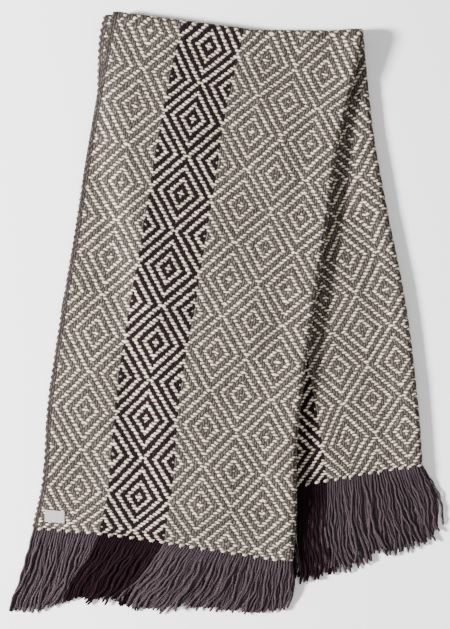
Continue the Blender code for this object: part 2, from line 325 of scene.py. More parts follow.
def lay(inward, rise, along):
    """Points of the folded blanket.

    inward: distance from the strip's folded edge; rise: height over the strip's middle, towards
    the outer layer; along: distance from the front hem, measured on the cloth.
    """
    inward, rise, along = np.broadcast_arrays(inward, rise, along)
    front_turn = np.interp(inward, crossing_inward, front_crossings)
    back_turn = np.interp(inward, crossing_inward, back_crossings)
    is_front = along < front_turn

    front_x, front_y = section_point(FRONT, inward, np.minimum(along, front_turn))
    fade = 1 - smooth((along - front_turn) / TURN_BLEND)
    back_x, back_y = section_point(BACK, inward, along + (back_turn - front_turn) * fade)
    start_x = section_point(FRONT, inward, front_turn)[0]
    end_x = section_point(BACK, inward, back_turn)[0]
    back_x = back_x + (start_x - end_x) * fade
    back_y = back_y + (fold_height(start_x) - fold_height(end_x)) * fade

    x = np.where(is_front, front_x, back_x)
    y = np.where(is_front, front_y, back_y)
    top = fold_height(x)
    below = np.maximum(top - y, 0.0)
    half = bulge(inward)
    side = np.where(is_front, 1.0, -1.0)

    angle = np.minimum(below / TURN_RADIUS, np.pi / 2)
    turned_y = top - TURN_RIM - TURN_RADIUS * (1 - np.cos(angle))
    turned_z = THICK / 2 + half + TURN_RADIUS * (1 + side * np.sin(angle))
    flat = below > TURN_QUARTER
    flat_y = y + TURN_QUARTER - TURN_RADIUS - TURN_RIM

    under = support(x, flat_y)
    near = LAYER_STEP + 2 * half
    under = near + (under - near) * np.clip((below - TURN_QUARTER) / TURN_EASE, 0, 1)
    roll = 2 * TURN_RADIUS - near
    settle = 1 - smooth((below - TURN_QUARTER) / TURN_EASE)
    front_z = under + THICK / 2 + half + roll * settle
    lift = waves(x, flat_y, inward, below - TURN_QUARTER) * (0.5 + rise / (2 * half))
    flat_z = np.where(is_front, front_z + lift, THICK / 2 + half)

    point_y = np.where(flat, flat_y, turned_y + rise * np.cos(angle))
    point_z = np.where(flat, flat_z + side * rise, turned_z + rise * side * np.sin(angle))
    return np.stack((x - MIDDLE_X, point_y - MIDDLE_Y, point_z), axis=-1)


def lie_of_end(end, along, outward):
    """Inward and rise for lay, of a place counted in warp ends from the outer selvedge.

    outward is the distance from the middle of the cloth's thickness towards its face.
    """
    fold_end = read_table(FOLD_ENDS, 1, along / MM)
    late = np.maximum(along, BACK_FIRST)
    early = np.minimum(along, FRONT_LAST)
    wide = np.where(along < HALVES_MEET, strip_width(FRONT, early), strip_width(BACK, late))
    inset = read_table(INSET, 1, along / MM) * MM
    is_outer = end < fold_end
    outer_reach = EDGE_ARC + wide - EDGE_START
    inner_reach = EDGE_ARC + wide - inset - EDGE_START
    reach = np.where(
        is_outer,
        outer_reach * (fold_end - end) / fold_end,
        inner_reach * (end - fold_end) / (ENDS - fold_end),
    )
    angle = np.minimum(reach / EDGE_RADIUS, np.pi / 2)
    past = np.maximum(reach - EDGE_ARC, 0.0)
    radius = EDGE_RADIUS + outward
    inward = EDGE_START - radius * np.cos(angle) + past
    rise = np.where(past > 0, bulge(EDGE_START + past) + outward, radius * np.sin(angle))
    return inward, np.where(is_outer, rise, -rise)


def weft_shows(end, pick):
    """The chart: whether the cream weft lies over the warp in a cell."""

    def zigzag(count):
        return HALF_DIAMOND - np.abs(np.mod(count, 2 * HALF_DIAMOND) - HALF_DIAMOND)

    across = np.maximum(zigzag(end - CENTRE_END), CENTRE_END - end)
    twilled = np.mod(across + zigzag(pick - CENTRE_PICK), TWILL) < TWILL / 2
    return twilled & (end >= SELVEDGE_ENDS) & (end < ENDS - SELVEDGE_ENDS)


def yarn_height(end, pick):
    """Relief from 0 to 1 at whole and half counts of ends and picks.

    A half count is the middle of a yarn, a whole one lies between two yarns. Along the yarn
    that shows the surface stays high, and between two yarns side by side it is low.
    """
    left, right = np.floor(end - 0.25), np.floor(end + 0.25)
    below, above = np.floor(pick - 0.25), np.floor(pick + 0.25)
    cells = [weft_shows(e, p) for e in (left, right) for p in (below, above)]
    weft_share = np.mean(np.array(cells, dtype=float), axis=0)
    between_ends, between_picks = left != right, below != above
    height = np.ones_like(end)
    along_weft = GROOVE + (CREST - GROOVE) * weft_share
    along_warp = CREST - (CREST - GROOVE) * weft_share
    height = np.where(between_ends & ~between_picks, along_weft, height)
    height = np.where(between_picks & ~between_ends, along_warp, height)
    return np.where(between_ends & between_picks, GROOVE, height)


def wander(end, pick, seed):
    """Slow drift of the yarns from their even places, nothing at the cloth's edges."""
    dice = Random(seed)
    drift = np.zeros_like(end)
    for _ in range(WANDER_WAVES):
        across = dice.uniform(0.03, 0.16)
        down = dice.uniform(0.03, 0.16)
        drift += np.sin(end * across + pick * down * dice.choice((-1, 1)) + dice.uniform(0, 6.3))
    calm = smooth(end / CALM_ENDS) * smooth((ENDS - end) / CALM_ENDS)
    calm = calm * smooth(pick / CALM_PICKS) * smooth((PICKS - pick) / CALM_PICKS)
    return WANDER * drift / 3 * calm


def stray(end, along):
    """Where the yarns really lie: distance from the front hem, and a shift in ends."""
    from_fold = np.clip(np.abs(end - ENDS / 2) / (ENDS / 2), 0, 1)
    near, mid, far = [read_table(PICK_DRIFT, k, along / MM) for k in (1, 2, 3)]
    up = np.where(
        from_fold > 0.5,
        mid + (near - mid) * (from_fold * 2 - 1) ** 2,
        far + (mid - far) * from_fold * 2,
    )
    aside = read_table(END_DRIFT, 1, along / MM) * smooth(np.minimum(end, ENDS - end) / DRIFT_ENDS)
    sagging = smooth((end - SAG_ENDS[0]) / (SAG_ENDS[1] - SAG_ENDS[0]))
    up = up + read_table(STRIPE_SAG, 1, along / MM) * sagging
    aside = aside + read_table(STRIPE_SAG, 2, along / MM) * sagging
    return along + up * MM, aside * MM / END_PITCH


def cloth_piece(name, first_end, last_end, first_pick, last_pick, fine, material):
    """One part of the folded cloth: a closed shell whose face side carries every yarn.

    A fine face has two faces to each yarn and a back side of two yarns to each face; a hidden
    layer has one face to each yarn on both sides.
    """
    columns = (last_end - first_end) * (2 if fine else 1)
    rows = (last_pick - first_pick) * (2 if fine else 1)
    coarse = 4 if fine else 1
    face_mark = 0.01
    mesh = bmesh.new()
    bmesh.ops.create_grid(mesh, x_segments=columns, y_segments=rows, size=0.5)
    for vert in mesh.verts:
        vert.co.z = face_mark
    face_rim = [edge for edge in mesh.edges if edge.is_boundary]
    back = bmesh.ops.create_grid(
        mesh, x_segments=columns // coarse, y_segments=rows // coarse, size=0.5
    )
    back_rim = [e for v in back["verts"] for e in v.link_edges if e.is_boundary]
    bmesh.ops.bridge_loops(mesh, edges=face_rim + list(dict.fromkeys(back_rim)))
    bmesh.ops.recalc_face_normals(mesh, faces=mesh.faces)
    data = bpy.data.meshes.new(name)
    mesh.to_mesh(data)
    mesh.free()

    plain = np.empty(len(data.vertices) * 3)
    data.vertices.foreach_get("co", plain)
    plain = plain.reshape(-1, 3)
    end = first_end + (plain[:, 0] + 0.5) * (last_end - first_end)
    pick = first_pick + (plain[:, 1] + 0.5) * (last_pick - first_pick)
    end = np.round(end * 4) / 4
    pick = np.round(pick * 4) / 4
    on_face = plain[:, 2] > face_mark / 2
    relief = YARN_RELIEF * (yarn_height(end, pick) - 0.5) if fine else 0.0
    outward = np.where(on_face, THICK / 2 + relief, -THICK / 2)
    rim = np.minimum(end, ENDS - end) * END_PITCH
    from_hem = np.minimum(pick, PICKS - pick) + HEADING_PICKS
    rim = np.minimum(rim, from_hem * PICK_PITCH)
    outward = outward * (0.5 + 0.5 * smooth(rim / EDGE_THIN))
    near_edge = 1 - smooth(np.minimum(end, ENDS - end) / 2)
    scallop = SELVEDGE_SCALLOP / END_PITCH * np.cos(np.pi * pick) * near_edge
    along, aside = stray(end, pick * PICK_PITCH)
    shifted = end - aside + wander(end, pick, 5) / END_PITCH
    shifted = shifted + scallop * np.where(end < ENDS / 2, -1, 1)
    along = along + wander(end, pick, 9)
    inward, rise = lie_of_end(shifted, along, outward)
    points = lay(inward, rise, along)
    points[:, 2] = np.maximum(points[:, 2], SURFACE_CLEAR)
    data.vertices.foreach_set("co", points.astype(np.float32).ravel())

    corner = np.empty(len(data.loops), dtype=np.int32)
    data.loops.foreach_get("vertex_index", corner)
    threads = data.uv_layers.new(name="threads")
    uv = np.stack((end, pick + HEADING_PICKS), axis=-1)[corner] / UV_THREADS
    threads.data.foreach_set("uv", uv.astype(np.float32).ravel())
    data.polygons.foreach_set("use_smooth", np.ones(len(data.polygons), dtype=bool))
    data.update()
    data.materials.append(material)
    piece = bpy.data.objects.new(name, data)
    bpy.context.scene.collection.objects.link(piece)
    return piece


def linear(code):
    """A colour code such as 8a7f7b, as Blender's linear values."""
    channels = [int(code[k : k + 2], 16) / 255 for k in (0, 2, 4)]
    return (*[c / 12.92 if c <= 0.04045 else ((c + 0.055) / 1.055) ** 2.4 for c in channels], 1.0)


def add_node(tree, kind, links=(), **settings):
    """Adds a node, sets its settings and fills its inputs with sockets or values."""
    made = tree.nodes.new(kind)
    for name, value in settings.items():
        setattr(made, name, value)
    for socket, source in dict(links).items():
        if isinstance(source, bpy.types.NodeSocket):
            tree.links.new(source, made.inputs[socket])
        else:
            made.inputs[socket].default_value = source
    return made


def empty_material(name):
    """A material with its shader wired to its output."""
    material = bpy.data.materials.new(name)
    material.use_nodes = True
    tree = material.node_tree
    return material, tree, tree.nodes["Principled BSDF"]


# Twill of hand-spun, undyed wool: matt, with loose fibres that catch a little light, each yarn of
# its own tone, and painted shade in the gaps where two yarns lie side by side.
# The painted shade's brightness in the gaps is a share of the yarn's own, for weft and for warp.
GREY_YARN = "6e635e"
GREY_YARN_DEEP = "534945"
DARK_YARN = "18080f"
DARK_YARN_LIGHT = "29161d"
CREAM_YARN = "ecdec9"
CREAM_YARN_DEEP = "cdbea8"
SELVEDGE_SHADE = 0.7
WEFT_GAP_PAINTED_SHADE = 0.05
WARP_GAP_PAINTED_SHADE = 0.2
FLOAT_SLANT = 0.5
WAVER = 1.1

twill, tree, shader = empty_material("handspun_wool_diamond_twill")
threads = add_node(tree, "ShaderNodeUVMap", uv_map="threads")
even_counts = add_node(
    tree,
    "ShaderNodeVectorMath",
    {0: threads.outputs[0], 1: (UV_THREADS, UV_THREADS, 1.0), 2: (0.0, -HEADING_PICKS, 0.0)},
    operation="MULTIPLY_ADD",
)
# Uneven spinning: the yarns' sides waver by a fraction of a yarn
waver = add_node(
    tree, "ShaderNodeTexNoise", {"Vector": even_counts.outputs[0], "Scale": 0.9, "Detail": 1.0}
)
wavering = add_node(
    tree,
    "ShaderNodeVectorMath",
    {0: waver.outputs["Color"], 1: (WAVER, WAVER, 0.0), 2: (-WAVER / 2, -WAVER / 2, 0.0)},
    operation="MULTIPLY_ADD",
)
counts = add_node(
    tree,
    "ShaderNodeVectorMath",
    {0: even_counts.outputs[0], 1: wavering.outputs[0]},
    operation="ADD",
)
count = add_node(tree, "ShaderNodeSeparateXYZ", {0: counts.outputs[0]})
cell = add_node(tree, "ShaderNodeVectorMath", {0: counts.outputs[0]}, operation="FLOOR")
cell_count = add_node(tree, "ShaderNodeSeparateXYZ", {0: cell.outputs[0]})
# The chart, drawn along the yarns: each float has slanting ends, so the floats of one twill
# line run into one another as they do in the cloth
within_pick = add_node(tree, "ShaderNodeMath", {0: count.outputs[1]}, operation="FRACT")
slanted_pick = add_node(
    tree,
    "ShaderNodeMath",
    {0: within_pick.outputs[0], 1: FLOAT_SLANT, 2: cell_count.outputs[1]},
    operation="MULTIPLY_ADD",
)
within_end = add_node(tree, "ShaderNodeMath", {0: count.outputs[0]}, operation="FRACT")
slanted_end = add_node(
    tree,
    "ShaderNodeMath",
    {0: within_end.outputs[0], 1: FLOAT_SLANT, 2: cell_count.outputs[0]},
    operation="MULTIPLY_ADD",
)


def twill_field(tree, end, end_middle, pick, pick_middle):
    """Place in the twill repeat: the weft lies on top from 0 to half of TWILL."""
    zigzags = []
    for place, middle in ((end, end_middle), (pick, pick_middle)):
        from_middle = add_node(tree, "ShaderNodeMath", {0: place, 1: middle}, operation="SUBTRACT")
        zigzags.append(
            add_node(
                tree,
                "ShaderNodeMath",
                {0: from_middle.outputs[0], 1: HALF_DIAMOND},
                operation="PINGPONG",
            )
        )
    # next to the outer selvedge the twill runs on without a point
    from_selvedge = add_node(tree, "ShaderNodeMath", {0: end_middle, 1: end}, operation="SUBTRACT")
    across = add_node(
        tree,
        "ShaderNodeMath",
        {0: zigzags[0].outputs[0], 1: from_selvedge.outputs[0]},
        operation="MAXIMUM",
    )
    both = add_node(
        tree, "ShaderNodeMath", {0: across.outputs[0], 1: zigzags[1].outputs[0]}, operation="ADD"
    )
    shifted = add_node(tree, "ShaderNodeMath", {0: both.outputs[0], 1: 0.5}, operation="ADD")
    return add_node(
        tree, "ShaderNodeMath", {0: shifted.outputs[0], 1: TWILL}, operation="FLOORED_MODULO"
    ).outputs[0]


# Half a cell is added where the count runs on, and half a slanted cell where it is stepped
end_middle, pick_middle = CENTRE_END + 0.5, CENTRE_PICK + 0.5
half_slant = FLOAT_SLANT / 2
weft_field = twill_field(
    tree, count.outputs[0], end_middle, slanted_pick.outputs[0], CENTRE_PICK + half_slant
)
warp_field = twill_field(
    tree, slanted_end.outputs[0], CENTRE_END + half_slant, count.outputs[1], pick_middle
)
charted = add_node(tree, "ShaderNodeMath", {0: weft_field, 1: TWILL / 2}, operation="LESS_THAN")
in_twill = add_node(
    tree,
    "ShaderNodeMath",
    {0: cell_count.outputs[0], 1: (ENDS - 1) / 2, 2: (ENDS - 1) / 2 - SELVEDGE_ENDS + 0.5},
    operation="COMPARE",
)
weft_up = add_node(
    tree, "ShaderNodeMath", {0: charted.outputs[0], 1: in_twill.outputs[0]}, operation="MULTIPLY"
)
# The two dark stripes of the warp
stripe_first, stripe_second = [
    add_node(
        tree,
        "ShaderNodeMath",
        {0: cell_count.outputs[0], 1: middle, 2: HALF_DIAMOND + 0.5},
        operation="COMPARE",
    )
    for middle in STRIPE_ENDS
]
dark_warp = add_node(
    tree,
    "ShaderNodeMath",
    {0: stripe_first.outputs[0], 1: stripe_second.outputs[0]},
    operation="MAXIMUM",
)
# Shade along each yarn: a slow change, its own for each end and each pick
end_course = add_node(
    tree,
    "ShaderNodeCombineXYZ",
    {0: cell_count.outputs[0], 1: count.outputs[1]},
)
end_place = add_node(
    tree,
    "ShaderNodeVectorMath",
    {0: end_course.outputs[0], 1: (7.31, 0.4, 0.0)},
    operation="MULTIPLY",
)
end_tone = add_node(
    tree, "ShaderNodeTexNoise", {"Vector": end_place.outputs[0], "Scale": 1.0, "Detail": 3.0}
)
pick_course = add_node(
    tree,
    "ShaderNodeCombineXYZ",
    {0: count.outputs[0], 1: cell_count.outputs[1]},
)
pick_place = add_node(
    tree,
    "ShaderNodeVectorMath",
    {0: pick_course.outputs[0], 1: (0.4, 5.77, 0.0)},
    operation="MULTIPLY",
)
pick_tone = add_node(
    tree, "ShaderNodeTexNoise", {"Vector": pick_place.outputs[0], "Scale": 1.0, "Detail": 3.0}
)


def tone_mix(tree, tone, low, high, first, second):
    """A colour between two codes, by a noise that mostly stays between low and high."""
    ramp = add_node(tree, "ShaderNodeMapRange", {0: tone, 1: low, 2: high})
    return add_node(
        tree,
        "ShaderNodeMix",
        {0: ramp.outputs[0], 6: linear(first), 7: linear(second)},
        data_type="RGBA",
    ).outputs[2]


grey = tone_mix(tree, end_tone.outputs[0], 0.3, 0.7, GREY_YARN_DEEP, GREY_YARN)
dark = tone_mix(tree, end_tone.outputs[0], 0.3, 0.75, DARK_YARN, DARK_YARN_LIGHT)
cream = tone_mix(tree, pick_tone.outputs[0], 0.25, 0.6, CREAM_YARN_DEEP, CREAM_YARN)
warp_colour = add_node(
    tree, "ShaderNodeMix", {0: dark_warp.outputs[0], 6: grey, 7: dark}, data_type="RGBA"
)
yarn_colour = add_node(
    tree,
    "ShaderNodeMix",
    {0: weft_up.outputs[0], 6: warp_colour.outputs[2], 7: cream},
    data_type="RGBA",
)
# Painted shade of round yarns: how far a place is from the middle of the float that shows, across
# and along it; the colour is darkened towards the float's sides and tips
side_shares = []
for within in (within_end, within_pick):
    off_middle = add_node(
        tree, "ShaderNodeMath", {0: within.outputs[0], 1: 0.5}, operation="SUBTRACT"
    )
    distance = add_node(tree, "ShaderNodeMath", {0: off_middle.outputs[0]}, operation="ABSOLUTE")
    side_shares.append(
        add_node(tree, "ShaderNodeMath", {0: distance.outputs[0], 1: 2.0}, operation="MULTIPLY")
    )
tip_shares = []
for field in (warp_field, weft_field):
    in_float = add_node(
        tree, "ShaderNodeMath", {0: field, 1: TWILL / 2}, operation="FLOORED_MODULO"
    )
    from_tip = add_node(
        tree, "ShaderNodeMath", {0: in_float.outputs[0], 1: 1.0}, operation="PINGPONG"
    )
    tip_shares.append(
        add_node(tree, "ShaderNodeMath", {0: 1.0, 1: from_tip.outputs[0]}, operation="SUBTRACT")
    )
side_share, tip_share = [
    add_node(
        tree,
        "ShaderNodeMix",
        {0: weft_up.outputs[0], 2: of_warp.outputs[0], 3: of_weft.outputs[0]},
        data_type="FLOAT",
    )
    for of_warp, of_weft in (side_shares, tip_shares)
]
off_float = add_node(
    tree, "ShaderNodeCombineXYZ", {0: side_share.outputs[0], 1: tip_share.outputs[0]}
)
stretched = add_node(
    tree,
    "ShaderNodeVectorMath",
    {0: off_float.outputs[0], 1: (0.95, 0.75, 0.0)},
    operation="MULTIPLY",
)
outness = add_node(tree, "ShaderNodeVectorMath", {0: stretched.outputs[0]}, operation="LENGTH")
painted_gap_shade = add_node(
    tree,
    "ShaderNodeMath",
    {0: weft_up.outputs[0], 1: WEFT_GAP_PAINTED_SHADE - WARP_GAP_PAINTED_SHADE, 2: WARP_GAP_PAINTED_SHADE},
    operation="MULTIPLY_ADD",
)
# painted shade: full colour in the middle of a float, darkening to the gaps' share at its sides
# and tips
roundness_and_painted_shade = add_node(
    tree,
    "ShaderNodeMapRange",
    {0: outness.outputs["Value"], 1: 0.1, 2: 0.92, 3: 1.0, 4: painted_gap_shade.outputs[0]},
    interpolation_type="SMOOTHSTEP",
)
# the two ends at each selvedge are drawn darker, at SELVEDGE_SHADE of their colour
edge_shade = add_node(
    tree,
    "ShaderNodeMath",
    {0: in_twill.outputs[0], 1: 1.0 - SELVEDGE_SHADE, 2: SELVEDGE_SHADE},
    operation="MULTIPLY_ADD",
)
# the painted shade of the yarns, times the darker selvedge ends
shade = add_node(
    tree,
    "ShaderNodeMath",
    {0: roundness_and_painted_shade.outputs[0], 1: edge_shade.outputs[0]},
    operation="MULTIPLY",
)
shaded = add_node(
    tree,
    "ShaderNodeVectorMath",
    {0: yarn_colour.outputs[2], "Scale": shade.outputs[0]},
    operation="SCALE",
)
# Fibres: fluff of about a millimetre, in colour and in relief
place = add_node(tree, "ShaderNodeTexCoord")
fibre = add_node(
    tree, "ShaderNodeTexNoise", {"Vector": place.outputs["Object"], "Scale": 620.0, "Detail": 4.0}
)
cell_shade = add_node(tree, "ShaderNodeTexWhiteNoise", {0: cell.outputs[0]})
uneven = add_node(
    tree,
    "ShaderNodeMath",
    {0: cell_shade.outputs[0], 1: 0.3, 2: fibre.outputs[0]},
    operation="MULTIPLY_ADD",
)
fibre_shade = add_node(
    tree, "ShaderNodeMapRange", {0: uneven.outputs[0], 1: 0.4, 2: 0.92, 3: 0.64, 4: 1.24}
)
fibred = add_node(
    tree,
    "ShaderNodeVectorMath",
    {0: shaded.outputs[0], "Scale": fibre_shade.outputs[0]},
    operation="SCALE",
)
tree.links.new(fibred.outputs[0], shader.inputs["Base Color"])
height = add_node(
    tree,
    "ShaderNodeMath",
    {0: fibre.outputs[0], 1: 0.5, 2: roundness_and_painted_shade.outputs[0]},
    operation="MULTIPLY_ADD",
)
fluff = add_node(
    tree, "ShaderNodeBump", {"Height": height.outputs[0], "Strength": 0.7, "Distance": 0.9 * MM}
)
tree.links.new(fluff.outputs[0], shader.inputs["Normal"])
shader.inputs["Roughness"].default_value = 0.92
shader.inputs["Sheen Weight"].default_value = 0.015
shader.inputs["Sheen Roughness"].default_value = 0.6
shader.inputs["Specular IOR Level"].default_value = 0.08

# The cloth is cut into four where no cut shows: round the folds' hidden sides
FRONT_CUT = 108
BACK_CUT = 96
TURN_CUT = 174
CLOTH_PIECES = (  # name, first and last end, first and last pick, whether each yarn has relief
    ("cloth_front_face", 0, FRONT_CUT, -HEADING_PICKS, TURN_CUT, True),
    ("cloth_front_lining", FRONT_CUT, ENDS, -HEADING_PICKS, TURN_CUT, False),
    ("cloth_back_face", BACK_CUT, ENDS, TURN_CUT, PICKS + HEADING_PICKS, True),
    ("cloth_back_under", 0, BACK_CUT, TURN_CUT, PICKS + HEADING_PICKS, False),
)
for name, first_end, last_end, first_pick, last_pick, fine in CLOTH_PIECES:
    piece = cloth_piece(name, first_end, last_end, first_pick, last_pick, fine, twill)
    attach(piece, "root")
    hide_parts("cloth")

# ---- Fringes -------------------------------------------------------------------------------
# The warp ends left past the last pick: two-ply yarn, one for each end, that keeps the crimp of
# the weave, clings together in loose clumps and lies on what is under it.

YARN_RADIUS = 2.35 * MM
YARN_STEPS = 26
# how deep the root lies inside the hem, and how far out the yarn comes down to what is under it
ROOT_DEEP = 3.0 * MM
FALL = 45.0 * MM
# middles of the lowest strands over the surface, so that the fullest yarn still lies on it
LOWEST = 1.34 * YARN_RADIUS
CLUMP_ENDS = 5
CRIMP_LONG = 34.0 * MM
CRIMP_HEIGHT = 1.2 * MM
SWAY = 5.0 * MM
SWAY_LONG = 110.0 * MM
UNEVEN = 0.03
# ends over which a fringe's freedom to stray sets in from its sides
EDGE_ENDS = 8
# a few strands lie askew over the others: their share, and the turn in degrees
CROSSING_SHARE = 0.07
CROSSING_TURN = (5, 11)
# height over what is under them, in radii, of the yarns of the upper fringe and of loose plies
YARN_STACK = 1.5
PLY_STACK = 0.3
# scatter of that height, and how far a loose ply lies beside its yarn
STACK_SCATTER = 2.4 * MM
PLY_APART = (1.5 * MM, 4.0 * MM)
PLY_THINNER = 0.22
# strands built for each warp end: the yarn and two loose plies
STRANDS = (0, 1, 1)
PLY_SHORTER = 0.05
# radii at the root, where the yarn leaves the hem, halfway and at the tip, in YARN_RADIUS
FULLNESS_STEPS = (0, 3, 14, YARN_STEPS)
FULLNESS = (1.2, 1.15, 1.1, 1.0)
TIP_TAPER = 0.8
# share of the strip's width from the selvedges, lean in degrees from straight down at the hem
# and at the tips, length in mm
FRONT_FRINGE = (
    (0.0, -14, -18, 162),
    (0.13, -14, -26, 163),
    (0.27, -24, -38, 150),
    (0.38, -32, -38, 147),
    (0.49, -34, -38, 146),
    (0.6, -32, -40, 156),
    (0.7, -24, -36, 136),
    (0.8, -16, -28, 118),
    (0.9, -6, -22, 114),
    (1.0, 2, -14, 94),
)
BACK_FRINGE = (
    (0.0, -6, -6, 176),
    (0.5, -1, -2, 186),
    (0.62, 0, 4, 180),
    (0.69, 2, 14, 176),
    (0.76, 4, 10, 156),
    (0.82, 8, 8, 165),
    (0.88, 14, 10, 158),
    (0.94, 20, 14, 150),
    (1.0, 27, 2, 130),
)


def yarn_path(end, hem, outward, sections, table, dice, clump, loose):
    """Points and radii of one strand of a fringe, from inside the hem to its tip.

    loose is 0 for the yarn itself and 1 for a ply that has come away from it and lies below.
    """
    wide = float(strip_width(sections, np.array(hem)))
    along, aside = stray(np.array(end + 0.5), np.array(hem))
    inward, rise = lie_of_end(end + 0.5 - aside, np.array(hem), 0.0)
    edge = along + outward * HEADING_PICKS * PICK_PITCH
    root = lay(inward, rise, np.array(edge - outward * ROOT_DEEP))
    rim = lay(inward, rise, np.array(edge))
    across = 1 - float(inward) / wide
    hem_lean, tip_lean, long = [float(read_table(table, k, np.array(across))) for k in (1, 2, 3)]
    turn = clump["turn"] + dice.uniform(-3.0, 3.0) * (1 + 0.5 * loose)
    from_stripe = min(abs(end - middle) for middle in STRIPE_ENDS)
    crosses = dice.random() < CROSSING_SHARE and from_stripe > HALF_DIAMOND + CLUMP_ENDS
    turn += dice.choice((-1, 1)) * dice.uniform(*CROSSING_TURN) * crosses
    freedom = float(smooth(min(end + 1, ENDS - end) / EDGE_ENDS))
    lean = np.radians(np.linspace(hem_lean, tip_lean, YARN_STEPS) + turn * freedom)
    length = long * MM - HEADING_PICKS * PICK_PITCH
    length *= clump["long"] * (1 + dice.uniform(-UNEVEN, UNEVEN) - PLY_SHORTER * loose)
    pull = (clump["middle"] - end) * END_PITCH * clump["cling"]
    crimp_phase = dice.uniform(0, 2 * np.pi)
    sway_phase = clump["phase"] + dice.gauss(0, 0.5)
    on_top = float(rise) * outward < 0
    stack = YARN_RADIUS * (YARN_STACK if on_top and not loose else PLY_STACK)
    stack += dice.uniform(0, STACK_SCATTER) + crosses * on_top * YARN_RADIUS
    apart = loose * dice.choice((-1, 1)) * dice.uniform(*PLY_APART)

    travelled = np.linspace(0.0, length, YARN_STEPS)
    step = length / (YARN_STEPS - 1)
    share = travelled / length
    aside = SWAY * np.sin(2 * np.pi * travelled / SWAY_LONG + sway_phase) * share * freedom
    crimp = 2 * np.pi * travelled / (CRIMP_LONG * dice.uniform(0.8, 1.3)) + crimp_phase
    aside += CRIMP_HEIGHT * dice.uniform(0.3, 1.4) * np.sin(crimp) * smooth(share * 4)
    aside += (pull * freedom + apart) * smooth(share * 1.3)
    x = rim[0] + step * (np.cumsum(np.sin(lean)) - np.sin(lean[0])) + aside * np.cos(lean)
    y = rim[1] - step * (np.cumsum(np.cos(lean)) - np.cos(lean[0])) + aside * np.sin(lean)
    if outward < 0:
        under = support(x + MIDDLE_X, y + MIDDLE_Y)
        under_start = float(support(rim[0] + MIDDLE_X, rim[1] + MIDDLE_Y))
    else:
        under, under_start = 0.0 * x, 0.0
    drop = (rim[2] - under_start - YARN_RADIUS) * (1 - smooth(travelled / FALL))
    z = under + YARN_RADIUS + drop + stack * smooth(travelled / FALL)
    z += CRIMP_HEIGHT * 0.4 * (1 + np.sin(crimp + 1.5)) * smooth(share * 4)
    points = np.vstack((root[None, :], np.stack((x, y, z), axis=-1)))
    points[:, 2] = np.maximum(points[:, 2], LOWEST)
    fullness = np.interp(np.arange(len(points)), FULLNESS_STEPS, FULLNESS)
    radii = fullness * dice.uniform(0.85, 1.1) * (1 - PLY_THINNER * loose)
    radii[-1] *= TIP_TAPER
    return points, radii


def fringe_piece(name, yarns, material):
    """Tubes along the yarns' paths, made one mesh."""
    curve = bpy.data.curves.new(name, "CURVE")
    curve.dimensions = "3D"
    curve.bevel_depth = YARN_RADIUS
    curve.bevel_resolution = 0
    curve.use_fill_caps = True
    for points, radii in yarns:
        spline = curve.splines.new("POLY")
        spline.points.add(len(points) - 1)
        spline.points.foreach_set("co", np.hstack((points, np.ones((len(points), 1)))).ravel())
        spline.points.foreach_set("radius", radii)
    tubes = bpy.data.objects.new(name, curve)
    bpy.context.scene.collection.objects.link(tubes)
    bpy.context.view_layer.update()
    shaped = tubes.evaluated_get(bpy.context.evaluated_depsgraph_get())
    data = bpy.data.meshes.new_from_object(shaped)
    bpy.data.objects.remove(tubes)
    bpy.data.curves.remove(curve)
    data.polygons.foreach_set("use_smooth", np.ones(len(data.polygons), dtype=bool))
    data.materials.clear()
    data.materials.append(material)
    piece = bpy.data.objects.new(name, data)
    bpy.context.scene.collection.objects.link(piece)
    return piece


# turns of the two plies along one strand
PLY_TURNS = 26.0


def yarn_material(name, deep, light):
    """Two-ply wool yarn: matt, its plies seen as slanting bands of light and shade."""
    material, tree, shader = empty_material(name)
    course = add_node(tree, "ShaderNodeUVMap")
    split = add_node(tree, "ShaderNodeSeparateXYZ", {0: course.outputs[0]})
    turns = add_node(
        tree,
        "ShaderNodeMath",
        {0: split.outputs[0], 1: PLY_TURNS, 2: split.outputs[1]},
        operation="MULTIPLY_ADD",
    )
    ply = add_node(tree, "ShaderNodeMath", {0: turns.outputs[0], 1: 0.5}, operation="PINGPONG")
    place = add_node(tree, "ShaderNodeTexCoord")
    patch = add_node(
        tree,
        "ShaderNodeTexNoise",
        {"Vector": place.outputs["Object"], "Scale": 160.0, "Detail": 3.0},
    )
    mixed = add_node(
        tree,
        "ShaderNodeMath",
        {0: ply.outputs[0], 1: 0.55, 2: patch.outputs[0]},
        operation="MULTIPLY_ADD",
    )
    colour = tone_mix(tree, mixed.outputs[0], 0.38, 0.95, deep, light)
    tree.links.new(colour, shader.inputs["Base Color"])
    fluff = add_node(
        tree,
        "ShaderNodeBump",
        {"Height": mixed.outputs[0], "Strength": 0.7, "Distance": 0.8 * MM},
    )
    tree.links.new(fluff.outputs[0], shader.inputs["Normal"])
    shader.inputs["Roughness"].default_value = 0.95
    shader.inputs["Sheen Weight"].default_value = 0.01
    shader.inputs["Sheen Roughness"].default_value = 0.6
    shader.inputs["Specular IOR Level"].default_value = 0.05
    # light soaks some way into the loose fibres
    shader.inputs["Subsurface Weight"].default_value = 0.4
    shader.inputs["Subsurface Radius"].default_value = (1.0, 0.95, 0.9)
    shader.inputs["Subsurface Scale"].default_value = 1.5 * MM
    return material


grey_yarn = yarn_material("handspun_grey_wool_yarn", "32292d", "372d31")
dark_yarn = yarn_material("handspun_dark_wool_yarn", "0f0409", "16070d")
cream_yarn = yarn_material("handspun_cream_wool_yarn", "7d7469", "c9beaf")


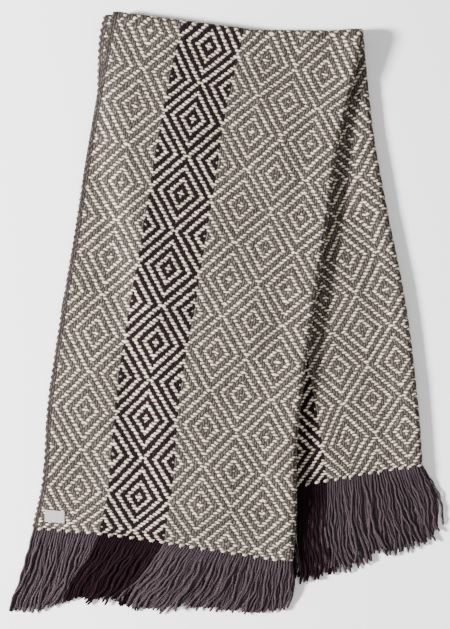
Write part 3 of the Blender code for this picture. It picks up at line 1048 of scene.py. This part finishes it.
def pick_loop(end, hem, outward, dice):
    """A float of the last pick, slack with no pick after it, its loose fibres hanging down."""
    drop = dice.uniform(-1.0, 4.5) * MM
    stations = outward * np.array((-1.1, -0.6, 0.0, 0.5, 0.5, 0.4)) + dice.uniform(-0.5, 0.5)
    hang = np.array((-1.5, 0.5, 1.0, 2.0, 2.5, 3.0)) * MM
    hang += drop * np.array((0.0, 0.0, 0.0, 0.0, 0.5, 1.0))
    rise = np.array((1.0, 2.2, 2.6, 2.6, 2.6, 2.2)) * MM
    along, aside = stray(end + stations, np.full(6, float(hem)))
    edge = along + outward * (HEADING_PICKS * PICK_PITCH + hang)
    inward, height = lie_of_end(end + stations - aside, np.full(6, float(hem)), rise)
    points = lay(inward, height, edge)
    return points, np.array((0.8, 1.2, 1.35, 1.2, 0.8, 0.4)) * dice.uniform(0.8, 1.1)


# name, distance of the hem, way out, sections, lean and length, seed, ends of the pick's floats
# that are seen
FRINGES = (
    ("fringe_front", 0.0, -1, FRONT, FRONT_FRINGE, 11, range(3, 97, TWILL)),
    ("fringe_back", CLOTH_LENGTH, 1, BACK, BACK_FRINGE, 23, range(107, ENDS - 2, TWILL)),
)
for name, hem, outward, sections, table, seed, seen_floats in FRINGES:
    dice = Random(seed)
    grey_yarns, dark_yarns = [], []
    clump = None
    for end in range(ENDS):
        if clump is None or end >= clump["stop"]:
            size = dice.randint(CLUMP_ENDS - 2, CLUMP_ENDS + 2)
            clump = {
                "middle": end + (size - 1) / 2,
                "stop": end + size,
                "turn": dice.uniform(-2.2, 2.2),
                "long": 1 + dice.uniform(-UNEVEN, UNEVEN),
                "cling": dice.uniform(-0.1, 0.3),
                "phase": dice.uniform(0, 2 * np.pi),
            }
        is_dark = min(abs(end - middle) for middle in STRIPE_ENDS) <= HALF_DIAMOND
        for loose in STRANDS:
            yarn = yarn_path(end, hem, outward, sections, table, dice, clump, loose)
            (dark_yarns if is_dark else grey_yarns).append(yarn)
    slack = [pick_loop(end, hem, outward, dice) for end in seen_floats]
    piece = fringe_piece(f"{name}_pick_loops", slack, cream_yarn)
    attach(piece, "root")
    kinds = (("grey", grey_yarns, grey_yarn), ("dark", dark_yarns, dark_yarn))
    for kind, yarns, material in kinds:
        piece = fringe_piece(f"{name}_{kind}", yarns, material)
        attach(piece, "root")
        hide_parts(name)

# ---- Label ---------------------------------------------------------------------------------
# A small woven cotton tape, left blank, sewn on near the front hem's left corner.

LABEL_WIDE = 38.0 * MM
LABEL_DEEP = 27.0 * MM
LABEL_THICK = 1.0 * MM
LABEL_FROM_SELVEDGE = 38.0 * MM
LABEL_FROM_HEM = 14.5 * MM
LABEL_TURN = np.radians(4.0)

tape, tree, shader = empty_material("woven_cotton_tape")
place = add_node(tree, "ShaderNodeTexCoord")
slub = add_node(
    tree,
    "ShaderNodeTexNoise",
    {"Vector": place.outputs["Object"], "Scale": 700.0, "Detail": 2.0},
)
cotton = tone_mix(tree, slub.outputs[0], 0.3, 0.7, "8a8689", "a4a0a3")
tree.links.new(cotton, shader.inputs["Base Color"])
shader.inputs["Roughness"].default_value = 0.8


def on_label(wide, deep, lift):
    """Points on the face of the cloth, measured from the label's middle, lifted off it."""
    from_selvedge = LABEL_FROM_SELVEDGE + wide * np.cos(LABEL_TURN) - deep * np.sin(LABEL_TURN)
    from_hem = LABEL_FROM_HEM + deep * np.cos(LABEL_TURN) + wide * np.sin(LABEL_TURN)
    inward = strip_width(FRONT, np.full_like(from_hem, LABEL_FROM_HEM)) - from_selvedge
    points = lay(inward, bulge(inward), from_hem)
    points[:, 2] += THICK / 2 + YARN_RELIEF / 2 + lift
    return points


mesh = bmesh.new()
bmesh.ops.create_grid(mesh, x_segments=19, y_segments=12, size=0.5)
data = bpy.data.meshes.new("label")
mesh.to_mesh(data)
mesh.free()
plain = np.empty(len(data.vertices) * 3)
data.vertices.foreach_get("co", plain)
plain = plain.reshape(-1, 3)
points = on_label(plain[:, 0] * LABEL_WIDE, plain[:, 1] * LABEL_DEEP, LABEL_THICK / 2)
data.vertices.foreach_set("co", points.astype(np.float32).ravel())
data.polygons.foreach_set("use_smooth", np.ones(len(data.polygons), dtype=bool))
data.update()
data.materials.append(tape)
label = bpy.data.objects.new("label_tape", data)
bpy.context.scene.collection.objects.link(label)
cloth_of_label = label.modifiers.new("Thickness", "SOLIDIFY")
cloth_of_label.thickness = LABEL_THICK
cloth_of_label.offset = 0.0
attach(label, "root")
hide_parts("label")

# Overhand stitches of cotton thread along the label's two short ends
STITCH_PITCH = 3.4 * MM
STITCH_OVER = np.array((-1.9, -1.2, -0.1, 0.8, 1.3)) * MM
STITCH_RISE = np.array((-0.1, 0.35, 0.45, -0.2, -1.4)) * MM
STITCH_RADIUS = 0.35 * MM
stitches = []
for side in (-1, 1):
    for place_along in np.arange(-3, 4) * STITCH_PITCH:
        across = side * (LABEL_WIDE / 2 + STITCH_OVER)
        slanting = place_along + np.linspace(-0.4, 0.4, 5) * MM
        course = on_label(across, slanting, LABEL_THICK + STITCH_RISE)
        stitches.append((course, np.full(5, STITCH_RADIUS / YARN_RADIUS)))
piece = fringe_piece("label_stitches", stitches, tape)
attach(piece, "root")

# ---- Surface, lights and camera ------------------------------------------------------------
# A plain white sweep under soft studio light from the left, seen from almost straight above.

paper, tree, shader = empty_material("matt_white_paper")
shader.inputs["Base Color"].default_value = linear("fafafa")
shader.inputs["Roughness"].default_value = 0.9
mesh = bmesh.new()
bmesh.ops.create_grid(mesh, x_segments=1, y_segments=1, size=6.0)
data = bpy.data.meshes.new("surface")
mesh.to_mesh(data)
mesh.free()
data.materials.append(paper)
surface = bpy.data.objects.new("surface", data)
bpy.context.scene.collection.objects.link(surface)

world = bpy.data.worlds.new("studio")
world.use_nodes = True
world.node_tree.nodes["Background"].inputs[0].default_value = linear("ffffff")
world.node_tree.nodes["Background"].inputs[1].default_value = 0.6
bpy.context.scene.world = world

LIGHTS = (  # name, place, size in metres, power in watts
    ("key", (-3.8, -0.25, 2.2), 0.75, 1000.0),
    ("fill", (1.0, -0.9, 2.6), 2.0, 26.0),
)
for name, place_at, size, power in LIGHTS:
    light = bpy.data.lights.new(name, "AREA")
    light.size = size
    light.energy = power
    lamp = bpy.data.objects.new(name, light)
    lamp.location = place_at
    lamp.rotation_euler = Vector(place_at).to_track_quat("Z", "Y").to_euler()
    bpy.context.scene.collection.objects.link(lamp)

CAMERA_AIM = (-0.0019, -0.0133, 0.0)
CAMERA_DISTANCE = 2.4
CAMERA_ELEVATION = math.radians(84.5)
camera_data = bpy.data.cameras.new("camera")
camera_data.lens = 70.74
camera_data.sensor_width = 36.0
camera = bpy.data.objects.new("camera", camera_data)
camera.location = (
    CAMERA_AIM[0],
    CAMERA_AIM[1] - CAMERA_DISTANCE * math.cos(CAMERA_ELEVATION),
    CAMERA_AIM[2] + CAMERA_DISTANCE * math.sin(CAMERA_ELEVATION),
)
camera.rotation_euler = (math.pi / 2 - CAMERA_ELEVATION, 0.0, 0.0)
bpy.context.scene.collection.objects.link(camera)
bpy.context.scene.camera = camera
